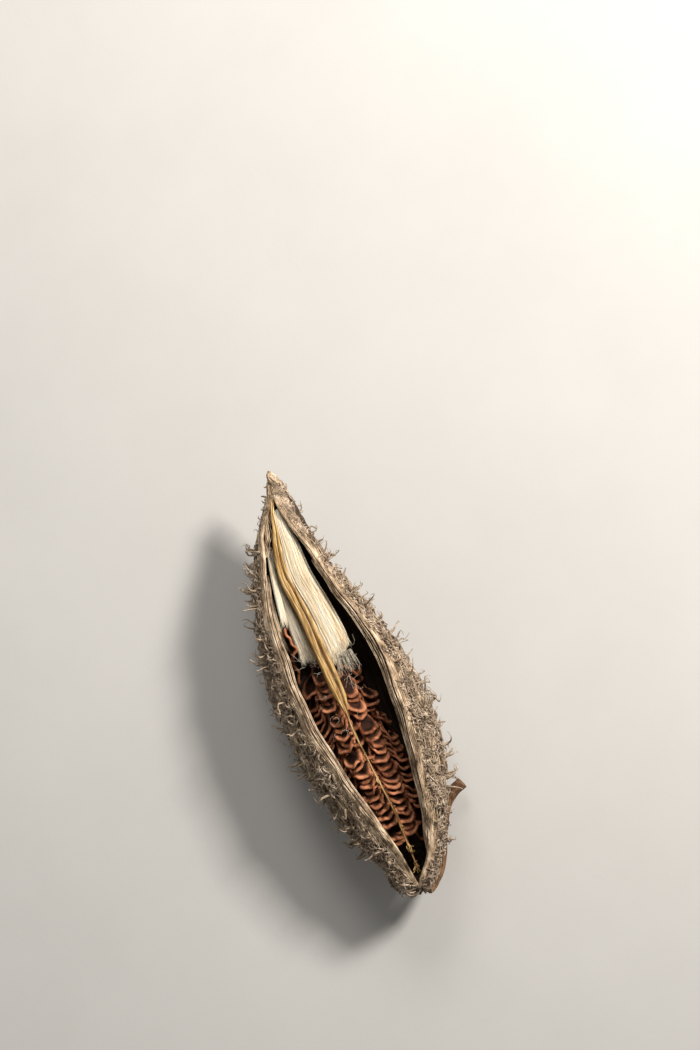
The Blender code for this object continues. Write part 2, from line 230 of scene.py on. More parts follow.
def noise_texture(material, vector, size, detail=2.0):
    """A noise texture node in a material, with lumps of a size in mm, placed by a vector socket."""
    texture = material.node_tree.nodes.new("ShaderNodeTexNoise")
    texture.inputs["Scale"].default_value = 1.0 / (size * MM)
    texture.inputs["Detail"].default_value = detail
    material.node_tree.links.new(vector, texture.inputs["Vector"])
    return texture


def tone_ramp(material, factor, tones):
    """A colour ramp node in a material, with tones as (place from 0 to 1, colour)."""
    ramp = material.node_tree.nodes.new("ShaderNodeValToRGB")
    while len(ramp.color_ramp.elements) < len(tones):
        ramp.color_ramp.elements.new(0.5)
    for stop, (at, colour) in zip(ramp.color_ramp.elements, tones):
        stop.position = at
        stop.color = (*colour, 1.0)
    material.node_tree.links.new(factor, ramp.inputs["Fac"])
    return ramp


def roughen(material, texture, strength, depth):
    """Bumps on a material's surface from a texture, of a depth in mm."""
    raised = material.node_tree.nodes.new("ShaderNodeBump")
    raised.inputs["Strength"].default_value = strength
    raised.inputs["Distance"].default_value = depth * MM
    material.node_tree.links.new(texture.outputs["Fac"], raised.inputs["Height"])
    shader = material.node_tree.nodes["Principled BSDF"]
    material.node_tree.links.new(raised.outputs["Normal"], shader.inputs["Normal"])


def dry_material(name, tones, patch, grain, stretch=1.0, roughness=0.9, bump=0.3, sheen=0.0):
    """A dry plant finish: tones mottled in patches of a size in mm, with a finer grain.

    stretch draws the pattern out along the pod.
    """
    made = bpy.data.materials.new(name)
    made.use_nodes = True
    nodes, links = made.node_tree.nodes, made.node_tree.links
    shader = nodes["Principled BSDF"]
    shader.inputs["Roughness"].default_value = roughness
    shader.inputs["Sheen Weight"].default_value = sheen
    shader.inputs["Sheen Roughness"].default_value = 0.5
    place = nodes.new("ShaderNodeTexCoord")
    mapping = nodes.new("ShaderNodeMapping")
    mapping.inputs["Scale"].default_value = (1.0, 1.0 / stretch, 1.0)
    links.new(place.outputs["Object"], mapping.inputs["Vector"])
    mottle = noise_texture(made, mapping.outputs["Vector"], patch, 4.0)
    mottle.inputs["Roughness"].default_value = 0.65
    ramp = tone_ramp(made, mottle.outputs["Fac"], tones)
    links.new(ramp.outputs["Color"], shader.inputs["Base Color"])
    roughen(made, noise_texture(made, mapping.outputs["Vector"], grain, 3.0), bump, grain)
    return made


# Painted shade: the wall's dark brown is darkened nearly to black, so the pits between the curls and the
# hollow read as shadow.
husk_wall_shaded = dry_material(
    "spongy wall darkened as painted shade",
    ((0.3, (0.012, 0.007, 0.004)), (0.5, (0.055, 0.034, 0.021)), (0.75, (0.20, 0.135, 0.088))),
    patch=1.2, grain=0.35, roughness=1.0, bump=0.8,
)
bm = bmesh.new()
wall_sheet(bm, 0.0, 0.0, POD_LENGTH, WALL_ROWS, WALL_COLUMNS, shut_early=0.0)
smooth_skin = BVHTree.FromBMesh(bm)
wall_sheet(bm, HUSK_WALL, 0.0, POD_LENGTH, WALL_ROWS, WALL_COLUMNS, shut_early=0.9)
join_skins(bm, 3)
add_piece("husk_wall", finish_mesh(bm, "husk_wall"), "husk_wall", [husk_wall_shaded], "husk")


# The felt is the husk's outer layer of short dead hairs and curled skin, thick and woolly. Its curls
# are pale, tan or grey at random. More are pale on the right, as painted light, fewer on the left and
# belly, and on the lower left nearly all are grey, as painted shade.
FELT_POINTS = 5
FELT_TAPER = np.array((0.55, 1.0, 1.05, 0.85, 0.3))
felt_tones = [
    # Pale curls, real pale hairs; more of them on the right, as painted light.
    dry_material(
        "pale felt and painted light",
        ((0.3, (0.075, 0.049, 0.031)), (0.5, (0.331, 0.244, 0.170)), (0.7, (0.783, 0.655, 0.519))),
        patch=2.0, grain=0.12, roughness=0.95, bump=0.3, sheen=0.1,
    ),
    dry_material(
        "tan felt",
        ((0.3, (0.020, 0.011, 0.006)), (0.5, (0.092, 0.060, 0.038)), (0.72, (0.304, 0.220, 0.152))),
        patch=1.6, grain=0.12, roughness=0.95, bump=0.3,
    ),
    # Grey curls: random darker hairs, and painted shade on the left, nearly all of the lower left.
    dry_material(
        "grey felt and painted shade",
        ((0.3, (0.007, 0.005, 0.003)), (0.5, (0.026, 0.020, 0.015)), (0.72, (0.099, 0.078, 0.060))),
        patch=2.0, grain=0.12, roughness=1.0, bump=0.3,
    ),
]


def strand_mesh(name, paths, radii, kinds=None, roundness=0):
    """Tapered strands as one mesh. paths are points in metres and radii their radii in metres."""
    curve = bpy.data.curves.new(name, "CURVE")
    curve.dimensions = "3D"
    curve.bevel_depth = 1.0
    curve.bevel_resolution = roundness
    curve.use_fill_caps = True
    for number, (path, radius) in enumerate(zip(paths, radii)):
        spline = curve.splines.new("POLY")
        spline.points.add(len(path) - 1)
        spline.points.foreach_set("co", np.column_stack((path, np.ones(len(path)))).ravel())
        spline.points.foreach_set("radius", radius)
        spline.material_index = 0 if kinds is None else int(kinds[number])
    guide = bpy.data.objects.new(name, curve)
    bpy.context.scene.collection.objects.link(guide)
    seen = guide.evaluated_get(bpy.context.evaluated_depsgraph_get())
    mesh = bpy.data.meshes.new_from_object(seen)
    bpy.data.objects.remove(guide)
    mesh.name = name
    return mesh


def scatter(draw, count, first, last, around_from, around_to):
    """Random places on the skin, spread evenly over its area."""
    from_tip = draw.uniform(first, last, count * 6)
    around = draw.uniform(around_from, around_to, count * 6)
    area = skin_frame(from_tip, around)[3]
    chosen = draw.choice(len(area), count, replace=False, p=area / area.sum())
    return from_tip[chosen], around[chosen]


def felt_curls(draw, count, region, length, radius, lift, pale):
    """Short bent hairs rooted in the wall. Returns their paths, radii and tones."""
    from_tip, around = scatter(draw, count, *region)
    clear = from_rim(from_tip, around) > draw.uniform(1.0, 2.6, count) * np.clip(from_tip / 20.0, 0.2, 1.0)
    clear &= bumps(skin(from_tip, around), 3.2) > draw.uniform(-0.55, 0.12, count)
    from_tip, around = from_tip[clear], around[clear]
    count = len(from_tip)
    out, lengthways, across, _ = skin_frame(from_tip, around)
    narrow = np.clip(from_tip / 34.0, 0.35, 1.0)[:, None]
    root = skin(from_tip, around) + out * lumps(from_tip, around)[:, None] * narrow * MM
    steps = np.linspace(0, 1, FELT_POINTS)
    size = draw.uniform(*length, (count, 1)) * (0.5 + 0.5 * narrow)
    bend = draw.normal(0, 2.2, (count, 1))
    heading = draw.uniform(0, 2 * math.pi, (count, 1)) + bend * (steps - 0.5)
    run = np.cumsum(np.stack((np.cos(heading), np.sin(heading)), axis=-1), axis=1)
    run = (run - run.mean(axis=1, keepdims=True)) * (size / (FELT_POINTS - 1))[..., None]
    arch = draw.uniform(*lift, (count, 1)) * np.sin(np.pi * (0.1 + 0.8 * steps)) * narrow
    free = draw.uniform(0, 0.65, (count, 1)) ** 2 * steps * size * narrow
    height = arch + free - 0.1
    path = (
        root[:, None]
        + run[..., :1] * lengthways[:, None] * MM
        + run[..., 1:] * across[:, None] * MM
        + height[..., None] * out[:, None] * MM
    )
    path = gnarled(path.reshape(-1, 3)).reshape(path.shape)
    thick = draw.uniform(*radius, (count, 1)) * FELT_TAPER * MM
    path[..., 2] = np.maximum(path[..., 2], thick)
    # Paleness is random, plus the region's level, which is painted light on the right and painted shade on
    # the left.
    paleness_and_light = pale * (0.7 + 0.6 * draw.random(count)) + 0.35 * bumps(root, 7.0)
    tones = np.where(paleness_and_light > 0.62, 0, np.where(paleness_and_light > 0.33, 1, 2))
    return path, thick, tones


# Regions: where from the tip, where around, how many, and how pale they are; how pale also paints
# light on the right and shade on the left, darkest on the lower left.
FELT_REGIONS = (
    ("felt_right_upper", (1.5, 52.0, 0.60, 1.0), 5200, 0.58),
    ("felt_right_lower", (52.0, 99.5, 0.60, 1.0), 5400, 0.54),
    ("felt_left_upper", (1.5, 52.0, 0.0, 0.40), 5200, 0.44),
    # Painted shade: on the lower left nearly all curls are grey.
    ("felt_left_lower", (52.0, 99.5, 0.0, 0.40), 5400, 0.10),
    ("felt_belly", (3.0, 98.5, 0.40, 0.60), 5000, 0.36),
    ("felt_base", (94.0, 100.4, 0.04, 0.96), 1300, 0.40),
)
for number, (name, region, count, pale) in enumerate(FELT_REGIONS):
    draw = np.random.default_rng(100 + number)
    paths, radii, tones = felt_curls(draw, count, region, (0.8, 3.1), (0.08, 0.21), (0.1, 0.9), pale)
    add_piece(name, strand_mesh(name, paths, radii, tones), "husk_wall", felt_tones)


# The soft prickles grow out of the husk's wall. They are tapered, hollow and dry, and bend towards
# the beak. The larger ones stand where the frame has them.
PRICKLE_STEPS = np.linspace(0, 1, 8)
SMALL_PRICKLES = 520
TIP_SIZE, TIP_CORNERS, TIP_REACH = 0.45, 4, 1.2
CLEAR_OF_RIM, CLEAR_OF_FLOOR = 1.8, 3.0
SLENDER_WITHIN = 60.0
prickle_tones = [
    dry_material(
        "prickle",
        ((0.3, (0.154, 0.105, 0.063)), (0.5, (0.375, 0.285, 0.195)), (0.72, (0.646, 0.522, 0.389))),
        patch=1.2, grain=0.15, roughness=0.8, bump=0.3,
    ),
    dry_material(
        "orange prickle",
        ((0.3, (0.182, 0.081, 0.032)), (0.5, (0.391, 0.212, 0.093)), (0.72, (0.660, 0.450, 0.270))),
        patch=1.2, grain=0.15, roughness=0.8, bump=0.3,
    ),
]


def frame_prickle_tips():
    """The tips of the prickles on the husk's solid: corners that stand close together, far out."""
    corners = {tuple(round(part, 7) for part in corner.co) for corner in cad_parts["husk"].data.vertices}
    corners = [Vector(corner) for corner in sorted(corners)]
    tree = KDTree(len(corners))
    for number, corner in enumerate(corners):
        tree.insert(corner, number)
    tree.balance()
    tips, used = [], set()
    for number, corner in enumerate(corners):
        near = [found[1] for found in tree.find_range(corner, TIP_SIZE * MM)]
        if number in used or len(near) < TIP_CORNERS:
            continue
        used.update(near)
        middle = sum((corners[index] for index in near), Vector()) / len(near)
        if smooth_skin.find_nearest(middle)[3] > TIP_REACH * MM:
            tips.append(middle)
    return tips


def prickle(draw, root, tip, out, base, hook):
    """A path and radii from a root to a tip, leaving the wall straight out and bending over."""
    reach = (tip - root).length
    control = root + out * reach * hook
    kink = Vector(draw.normal(0, 0.13, 3)) * reach
    path = [
        root * (1 - s) ** 2 + control * 2 * s * (1 - s) + tip * s**2 + kink * math.sin(2 * math.pi * s)
        for s in PRICKLE_STEPS
    ]
    radii = base * (1 - PRICKLE_STEPS) ** 1.1 + 0.045
    return np.array([list(at) for at in path]), radii * MM


draw = np.random.default_rng(7)
paths, radii, tones = [], [], []


def grow(root, tip, out, base, hook, rusty):
    """Adds one prickle. rusty is the chance that it is an orange one."""
    path, radius = prickle(draw, root, tip, out, base, hook)
    paths.append(above_floor(path, 0.1 * MM))
    radii.append(radius)
    tones.append(draw.random() < rusty)


for tip in frame_prickle_tips():
    near, out, _, distance = smooth_skin.find_nearest(tip)
    slender = min(1.0, 0.45 + (BEAK_Y - near.y / MM) / SLENDER_WITHIN)
    tip = near.lerp(tip, slender)
    distance *= slender
    root = near - Vector((0, 0.35 * distance, 0)) - out * 0.3 * MM
    base, hook = draw.uniform(0.26, 0.50) * slender, draw.uniform(0.5, 1.0)
    grow(root, tip, out, base, hook, 0.95 - 0.7 * slender)
    for _ in range(draw.integers(0, 3)):
        beside = Vector(draw.normal(0, 0.32, 3)) * distance
        shorter = near.lerp(tip, draw.uniform(0.5, 0.9))
        grow(root + beside * 0.2, shorter + beside, out, 0.2, 1.0, 0.3)
from_tip, around = scatter(draw, SMALL_PRICKLES, 2.0, 98.0, 0.0, 1.0)
outs, _, _, _ = skin_frame(from_tip, around)
for place, out, gap in zip(skin(from_tip, around), outs, from_rim(from_tip, around)):
    if gap < CLEAR_OF_RIM or place[2] < CLEAR_OF_FLOOR * MM:
        continue
    root, out = Vector(place), Vector(out)
    lean = Vector((draw.uniform(-0.8, 0.8), draw.uniform(-0.5, 1.2), draw.uniform(-0.6, 0.6)))
    slender = min(1.0, 0.35 + (BEAK_Y - place[1] / MM) / SLENDER_WITHIN)
    tip = root + (out + lean) * draw.uniform(0.9, 2.8) * slender * MM
    grow(root - out * 0.2 * MM, tip, out, draw.uniform(0.12, 0.34), draw.uniform(0.6, 1.3), 0.3)
add_piece("prickles", strand_mesh("prickles", paths, radii, tones), "husk_wall", prickle_tones)


# The rim is where the seam tore open. Stiff fibres run along it from beak to base, bleached cream
# with rusty lines between them, and they part here and there into slots. Near-black fibres sunk in
# the gaps between them are painted shade; the left rim, turned from the light, has more of them.
rim_tones = [
    dry_material(
        "cream rim fibre",
        ((0.34, (0.079, 0.045, 0.023)), (0.5, (0.493, 0.354, 0.225)), (0.68, (0.974, 0.796, 0.582))),
        patch=1.5, grain=0.15, stretch=3.0, roughness=0.75, bump=0.4,
    ),
    dry_material(
        "rusty rim fibre",
        ((0.3, (0.032, 0.014, 0.007)), (0.5, (0.143, 0.068, 0.028)), (0.7, (0.391, 0.221, 0.102))),
        patch=1.6, grain=0.15, stretch=4.0, roughness=0.8, bump=0.4,
    ),
    dry_material(
        "flecked rim fibre",
        ((0.32, (0.045, 0.025, 0.017)), (0.5, (0.183, 0.111, 0.075)), (0.68, (0.496, 0.365, 0.260))),
        patch=0.5, grain=0.15, stretch=3.0, roughness=0.85, bump=0.4,
    ),
    dry_material(
        "olive rim fibre",
        ((0.3, (0.07, 0.055, 0.018)), (0.5, (0.19, 0.155, 0.050)), (0.7, (0.36, 0.29, 0.12))),
        patch=1.2, grain=0.15, stretch=4.0, roughness=0.7, bump=0.3,
    ),
    # Painted shade: near-black fibres for the shadow in the grooves between the rim's fibres.
    dry_material(
        "groove fibre in painted shade",
        ((0.3, (0.006, 0.003, 0.002)), (0.5, (0.022, 0.012, 0.007)), (0.75, (0.084, 0.050, 0.028))),
        patch=1.0, grain=0.15, stretch=3.0, roughness=0.9, bump=0.4,
    ),
    dry_material(
        "golden rim fibre",
        ((0.32, (0.103, 0.048, 0.018)), (0.5, (0.499, 0.304, 0.138)), (0.7, (0.922, 0.691, 0.415))),
        patch=1.4, grain=0.15, stretch=4.0, roughness=0.7, bump=0.4,
    ),
]
# Fibres: sides, first and last place from the tip, depth in the wall, distance from the edge along
# the skin, radius, wander, tone, strands. A tone is a number in rim_tones.
RIM_FIBRES = (
    ("left", 1.5, 34.0, -0.02, 0.02, 0.09, 0.05, 3, 3),
    ("left", 1.5, 31.0, -0.06, 0.55, 0.10, 0.28, 2, 12),
    ("left", 1.5, 30.0, -0.02, 0.95, 0.09, 0.20, 4, 5),
    ("left", 1.5, 33.0, -0.10, 1.65, 0.12, 0.24, 0, 8),
    ("left", 26.0, 99.0, -0.08, 0.14, 0.12, 0.10, 5, 4),
    ("left", 29.0, 98.0, -0.12, 0.50, 0.13, 0.05, 4, 5),
    ("left", 24.0, 99.0, -0.10, 0.95, 0.12, 0.08, 0, 4),
    ("left", 28.0, 99.0, -0.12, 1.42, 0.13, 0.10, 4, 7),
    ("left", 30.0, 99.0, -0.10, 1.85, 0.10, 0.12, 2, 4),
    ("left", 1.5, 99.0, -0.10, 2.50, 0.11, 0.42, 2, 6),
    ("right", 1.5, 99.0, -0.06, 0.06, 0.10, 0.05, 0, 3),
    ("right", 1.5, 99.0, -0.12, 0.36, 0.13, 0.04, 4, 4),
    ("right", 1.5, 99.0, -0.08, 0.78, 0.12, 0.09, 5, 4),
    ("right", 1.5, 99.0, -0.12, 1.22, 0.13, 0.05, 4, 6),
    ("right", 1.5, 99.0, -0.12, 1.72, 0.14, 0.12, 0, 5),
    ("right", 1.5, 99.0, -0.06, 2.16, 0.11, 0.10, 1, 4),
    ("right", 1.5, 99.0, -0.12, 2.65, 0.13, 0.36, 0, 6),
    ("both", 1.5, 99.0, 0.36, 0.12, 0.08, 0.05, 1, 2),
    ("both", 1.5, 99.0, 0.62, -0.02, 0.14, 0.10, 0, 2),
    ("both", 1.5, 99.0, 0.90, 0.12, 0.08, 0.05, 4, 2),
    ("both", 1.5, 99.0, 1.15, 0.0, 0.13, 0.08, 1, 2),
    ("both", 22.2, 90.0, 1.80, 0.05, 0.10, 0.06, 1, 2),
    ("both", 22.2, 90.0, 2.12, 0.0, 0.12, 0.06, 0, 3),
)
RIM_FLECKS = 430


def rim_fibre(draw, right_side, from_tip, depth, from_edge, radius, wander):
    """One fibre along an edge of the split, wandering a little in place and thickness."""
    phases = draw.uniform(0, 100, 3)
    side_step = course(from_tip, 5.0, phases[0])
    depth_step = course(from_tip, 4.0, phases[1])
    swelling = course(from_tip, 1.6, phases[2])
    girth = skin_frame(from_tip, np.full_like(from_tip, 0.02))[3] / MM
    width = np.clip(np.minimum(from_tip + 3.0, POD_LENGTH - from_tip) / 14.0, 0.15, 1.0)
    offset = (from_edge * width + side_step * wander * 1.8) / np.maximum(girth, 1.0)
    around = 1 - offset if right_side else offset
    path = skin(from_tip, around, np.maximum(depth + depth_step * wander * 1.3, depth - 0.2))
    path = above_floor(gnarled(path))
    return path, radius * (1 + 0.6 * swelling) * (0.55 + 0.45 * width) * MM


for side in ("left", "right"):
    draw = np.random.default_rng(21 if side == "left" else 22)
    paths, radii, tones = [], [], []
    for sides, first, last, depth, from_edge, radius, wander, tone, strands in RIM_FIBRES:
        for _ in range(strands if sides in (side, "both") else 0):
            from_tip = np.linspace(first + draw.uniform(-0.6, 1.5), last + draw.uniform(-1.5, 0.7), 110)
            path, along = rim_fibre(draw, side == "right", from_tip, depth, from_edge, radius, wander)
            paths.append(path)
            to_end = np.minimum(from_tip - from_tip[0], from_tip[-1] - from_tip)
            radii.append(along * np.clip(to_end + 0.4, 0, 1))
            tones.append(tone)
    for fleck in range(RIM_FLECKS):
        on_rim = fleck % 5 < 3
        length = draw.uniform(1.0, 5.0) if on_rim else draw.uniform(4.0, 13.0)
        first = draw.uniform(1.5, 99.0 - length)
        from_tip = np.linspace(first, first + length, 9)
        from_edge = draw.uniform(0.0, 3.0) if on_rim else draw.uniform(2.6, 8.0)
        lift, radius = (-0.18, draw.uniform(0.05, 0.11)) if on_rim else (-0.65, draw.uniform(0.07, 0.12))
        path, along = rim_fibre(draw, side == "right", from_tip, lift, from_edge, radius, 0.35)
        paths.append(path)
        radii.append(along * np.array((0.3, 0.8, 1, 1, 1, 1, 1, 0.8, 0.3)))
        tones.append(draw.choice(6, p=(0.32, 0.14, 0.14, 0.0, 0.28, 0.12)))
    mesh = strand_mesh(f"rim_fibres_{side}", paths, radii, tones, 1)
    add_piece(f"rim_fibres_{side}", mesh, "husk_wall", rim_tones)


# The beak is the pod's pleated point, where all the fibres of the rim run together and fray.
PLEATS = 56
draw = np.random.default_rng(31)
paths, radii, tones = [], [], []
for pleat in range(PLEATS):
    last = draw.uniform(3.0, 9.0)
    from_tip = np.linspace(draw.uniform(0.05, 1.4), last, 18)
    around = (pleat + draw.uniform(-0.5, 0.5)) / PLEATS + 0.03 * np.sin(from_tip * draw.uniform(0.6, 1.8))
    swollen = (0.5 if pleat % 3 else -0.1) * np.sin(np.clip(from_tip / 4.0, 0, 1) * math.pi)
    path = gnarled(skin(from_tip, around, -0.05 - swollen), 0.7, 1.2)
    path[-3:] += np.outer((0.2, 0.5, 1.0), draw.normal(0, 0.5, 3)) * MM
    paths.append(path)
    radii.append(np.interp(from_tip, (0, 0.8, 4, last), (0.08, 0.20, 0.16, 0.05)) * MM)
    tones.append(draw.choice(6, p=(0.34, 0.14, 0.14, 0.0, 0.12, 0.26)))
# Strips that part at the beak: from tip, across and height at three places, spread, strands, tone.
STRIPS = (
    ((3.0, -0.9, 15.9), (7.5, -2.6, 16.8), (18.0, -6.6, 18.4), 0.30, 12, 2),
    ((3.0, -0.6, 15.8), (7.0, -1.9, 16.5), (14.0, -5.0, 17.4), 0.25, 8, 0),
    ((2.6, -0.2, 15.9), (6.0, -0.3, 16.6), (12.0, 0.8, 18.0), 0.25, 9, 0),
    ((3.6, -0.4, 15.5), (6.5, -0.8, 16.4), (11.0, 0.2, 17.4), 0.20, 6, 4),
    ((3.2, -0.6, 15.9), (6.0, -1.2, 16.9), (11.0, -2.4, 18.0), 0.22, 8, 5),
)
for start, middle, end, spread, strands, tone in STRIPS:
    for _ in range(strands):
        s = np.linspace(0, 1, 16)[:, None]
        path = np.array(start) * (1 - s) ** 2 + np.array(middle) * 2 * s * (1 - s) + np.array(end) * s**2
        path += draw.normal(0, spread, 3) * (0.3, 1, 0.5) * np.sin(0.3 + 2.2 * s)
        paths.append(gnarled(spot(*path.T), 0.5, 1.8))
        radii.append(draw.uniform(0.08, 0.15) * np.linspace(1, 0.5, 16) * MM)
        tones.append(tone if draw.random() < 0.75 else draw.integers(0, 3))
add_piece("beak_pleats", strand_mesh("beak_pleats", paths, radii, tones, 1), "husk_wall", rim_tones)


# The inner skin is a thin papery layer that has shrunk away from the wall. Its straw colour is painted
# dark brown all over, as painted shade in the hollow.
LINING_START, LINING_END = 22.0, 91.0
# Painted shade: dark brown all over, for the shadow inside the pod.
lining_paper_shaded = dry_material(
    "papery skin in painted shade",
    ((0.3, (0.020, 0.011, 0.007)), (0.55, (0.060, 0.036, 0.022)), (0.8, (0.17, 0.11, 0.068))),
    patch=1.5, grain=0.2, stretch=12.0, roughness=0.55, bump=0.35,
)
bm = bmesh.new()
for inset in (HUSK_WALL + LINING_GAP, RIM_DEPTH):
    wall_sheet(bm, inset, LINING_START, LINING_END, 150, 80)
join_skins(bm, 1)
add_piece("inner_skin", finish_mesh(bm, "inner_skin"), "inner_skin", [lining_paper_shaded], "inner_lining")


# The placenta is the flat stem that carried the seeds: two straw-gold ribs on a thin web, joined
# to the pod at the beak. The right rib ends in a blunt flap, and the left goes on as a thin strand.
PLACENTA = np.array(
    (
        (9.5, -2.3, 16.7, 0.7, 0.6, 0.7),
        (12.0, -2.7, 17.3, 1.0, 0.75, 0.9),
        (16.0, -3.5, 17.9, 1.9, 1.0, 1.4),
        (22.0, -4.4, 18.5, 2.5, 1.2, 3.6),
        (34.0, -3.0, 19.2, 2.9, 1.3, 5.5),
        (44.0, -2.2, 19.6, 2.9, 1.3, 2.4),
        (52.0, -1.5, 19.8, 2.6, 1.2, 1.4),
        (55.7, -1.2, 19.7, 1.2, 0.9, 0.9),
        (62.0, -0.8, 19.4, 0.8, 0.7, 0.7),
        (70.0, 0.2, 19.0, 0.8, 0.7, 0.7),
        (81.0, 1.9, 17.9, 0.8, 0.7, 0.7),
        (88.0, 2.1, 16.6, 0.8, 0.7, 0.7),
        (94.0, 2.3, 14.8, 0.6, 0.6, 0.6),
    )
)
placenta_tones = [
    dry_material(
        "straw gold",
        ((0.34, (0.138, 0.055, 0.012)), (0.48, (0.510, 0.297, 0.089)), (0.66, (0.920, 0.680, 0.330))),
        patch=1.1, grain=0.12, stretch=9.0, roughness=0.5, bump=0.35,
    ),
    dry_material(
        "pale straw",
        ((0.34, (0.182, 0.110, 0.044)), (0.48, (0.595, 0.442, 0.238)), (0.66, (0.950, 0.820, 0.580))),
        patch=1.3, grain=0.12, stretch=9.0, roughness=0.5, bump=0.35,
    ),
    dry_material(
        "brown groove",
        ((0.3, (0.040, 0.016, 0.006)), (0.5, (0.17, 0.075, 0.024)), (0.7, (0.44, 0.22, 0.075))),
        patch=0.8, grain=0.12, stretch=4.0, roughness=0.7, bump=0.4,
    ),
    dry_material(
        "olive flap",
        ((0.3, (0.054, 0.041, 0.018)), (0.5, (0.135, 0.108, 0.052)), (0.7, (0.297, 0.243, 0.135))),
        patch=1.2, grain=0.12, stretch=6.0, roughness=0.65, bump=0.35,
    ),
]


def loft(name, rings):
    """A closed body through rings of points, with its first and last ring filled."""
    bm = bmesh.new()
    previous = None
    for ring in rings:
        corners = [bm.verts.new(point) for point in ring]
        edges = [bm.edges.new((a, b)) for a, b in zip(corners, corners[1:] + corners[:1])]
        if previous is None:
            bm.faces.new(corners)
        else:
            bmesh.ops.bridge_loops(bm, edges=previous + edges)
        previous = edges
    bm.faces.new(corners)
    return finish_mesh(bm, name)


def placenta_ring(from_tip):
    """The stem's outline at a distance from the tip: two ribs over a thin web."""
    middle, top, width, thick, depth = (column_at(PLACENTA, column, from_tip) for column in range(1, 6))
    half = width / 2 * (0.6 if from_tip > 57 else 0.95)
    web = min(0.3, 0.6 * half)
    low = max(depth, thick + 0.05)
    outline = (
        (0.0, -0.45 * thick), (0.45 * half, -0.2 * thick), (0.9 * half, -0.5 * thick),
        (0.65 * half, -0.95 * thick), (web, -thick - 0.02), (web, -low), (-web, -low),
        (-web, -thick - 0.02), (-0.65 * half, -0.95 * thick), (-0.9 * half, -0.5 * thick),
        (-0.45 * half, -0.2 * thick),
    )
    return [spot(from_tip, middle + across, top + height) for across, height in outline]


placenta = loft("placenta_web", [placenta_ring(at) for at in np.linspace(9.5, 93.8, 90)])
add_piece("placenta_web", placenta, "placenta", placenta_tones[2:3], "placenta")

# Ribs: first and last place from the tip, place across as a share of the half width, spread in mm,
# strand radius, number of strands and the share of each tone.
RIBS = (
    (6.0, 56.5, -0.46, 0.42, 0.12, 16, (0.46, 0.36, 0.18, 0.0)),
    (9.6, 94.0, -0.10, 0.30, 0.10, 8, (0.10, 0.30, 0.25, 0.35)),
    (4.5, 40.0, 0.70, 0.30, 0.10, 14, (0.12, 0.0, 0.88, 0.0)),
    (26.0, 49.0, 0.66, 0.34, 0.12, 14, (0.22, 0.62, 0.06, 0.10)),
    (38.0, 55.9, 0.80, 0.36, 0.18, 10, (0.0, 0.10, 0.08, 0.82)),
    (24.0, 55.0, 0.10, 0.16, 0.09, 7, (0.1, 0.0, 0.9, 0.0)),
)
draw = np.random.default_rng(41)
paths, radii, tones = [], [], []
for first, last, share, spread, thick, strands, mix in RIBS:
    for strand in range(strands):
        over = (strand + 0.5) / strands * 2 - 1
        from_tip = np.linspace(first + draw.uniform(0, 1.5), last - draw.uniform(0, 1.0), 80)
        low = np.maximum(from_tip, 9.5)
        middle, top, width, rib_thick, _ = (column_at(PLACENTA, c, low) for c in range(1, 6))
        middle = middle + 0.40 * (low - from_tip)
        top = top - 0.24 * (low - from_tip) + 1.0 * np.clip((24.0 - from_tip) / 14.0, 0, 1)
        narrow = np.clip(width / 2.6, 0.28, 1.0)
        wobble = course(from_tip, 6.0, draw.uniform(0, 100))
        across = middle + share * width / 2 + (over * spread + 0.16 * wobble) * narrow
        height = top - 0.12 - (0.35 * over**2 + 0.05) * rib_thick * narrow + 0.06 * wobble
        fade = np.clip((from_tip[-1] - from_tip) / 3.0, 0.25, 1.0)
        paths.append(gnarled(spot(from_tip, across, height), 0.3, 7.0))
        radii.append(thick * (0.6 + 0.4 * narrow) * (1 + 0.4 * wobble) * fade * MM)
        tones.append(draw.choice(4, p=mix))
# Frayed knots on the thin strand, where single seeds were attached.
for knot in (66.0, 72.5, 79.0, 84.0, 88.8, 93.6):
    for _ in range(5 if knot < 86 else 16):
        at = knot + draw.normal(0, 0.5)
        start = spot(at, column_at(PLACENTA, 1, at), column_at(PLACENTA, 2, at) - 0.2)
        ways = np.cumsum(draw.normal(0, 1, (6, 3)) + (0, -0.8, 0.2), axis=0)
        paths.append(start + ways * draw.uniform(0.1, 0.24) * MM)
        radii.append(np.linspace(0.11, 0.04, 6) * MM)
        tones.append(draw.choice(4, p=(0.0, 0.55, 0.10, 0.35)))
add_piece("placenta_ribs", strand_mesh("placenta_ribs", paths, radii, tones, 1), "placenta", placenta_tones)


# The silk is a brush of fine hollow hairs on each seed, still packed flat and parallel as it grew,
# so it shines like satin. Its loose ends fray out over the first seeds.
silk_satin = dry_material(
    "cream satin silk", ((0.30, (0.58, 0.40, 0.21)), (0.48, (0.90, 0.77, 0.55)), (0.70, (0.99, 0.94, 0.81))),
    patch=1.1, grain=0.1, stretch=25.0, roughness=0.33, bump=0.25, sheen=0.4,
)
silk_shade = dry_material(
    "brown shaded silk",
    ((0.28, (0.109, 0.061, 0.027)), (0.5, (0.222, 0.146, 0.076)), (0.72, (0.309, 0.234, 0.145))),
    patch=1.1, grain=0.1, stretch=25.0, roughness=0.38, bump=0.25, sheen=0.05,
)
silk_white = dry_material(
    "white silk",
    ((0.28, (0.391, 0.306, 0.212)), (0.5, (0.666, 0.594, 0.468)), (0.72, (0.874, 0.836, 0.731))),
    patch=1.1, grain=0.1, stretch=25.0, roughness=0.35, bump=0.25, sheen=0.4,
)
silk_tones = [silk_satin, silk_shade, silk_white]
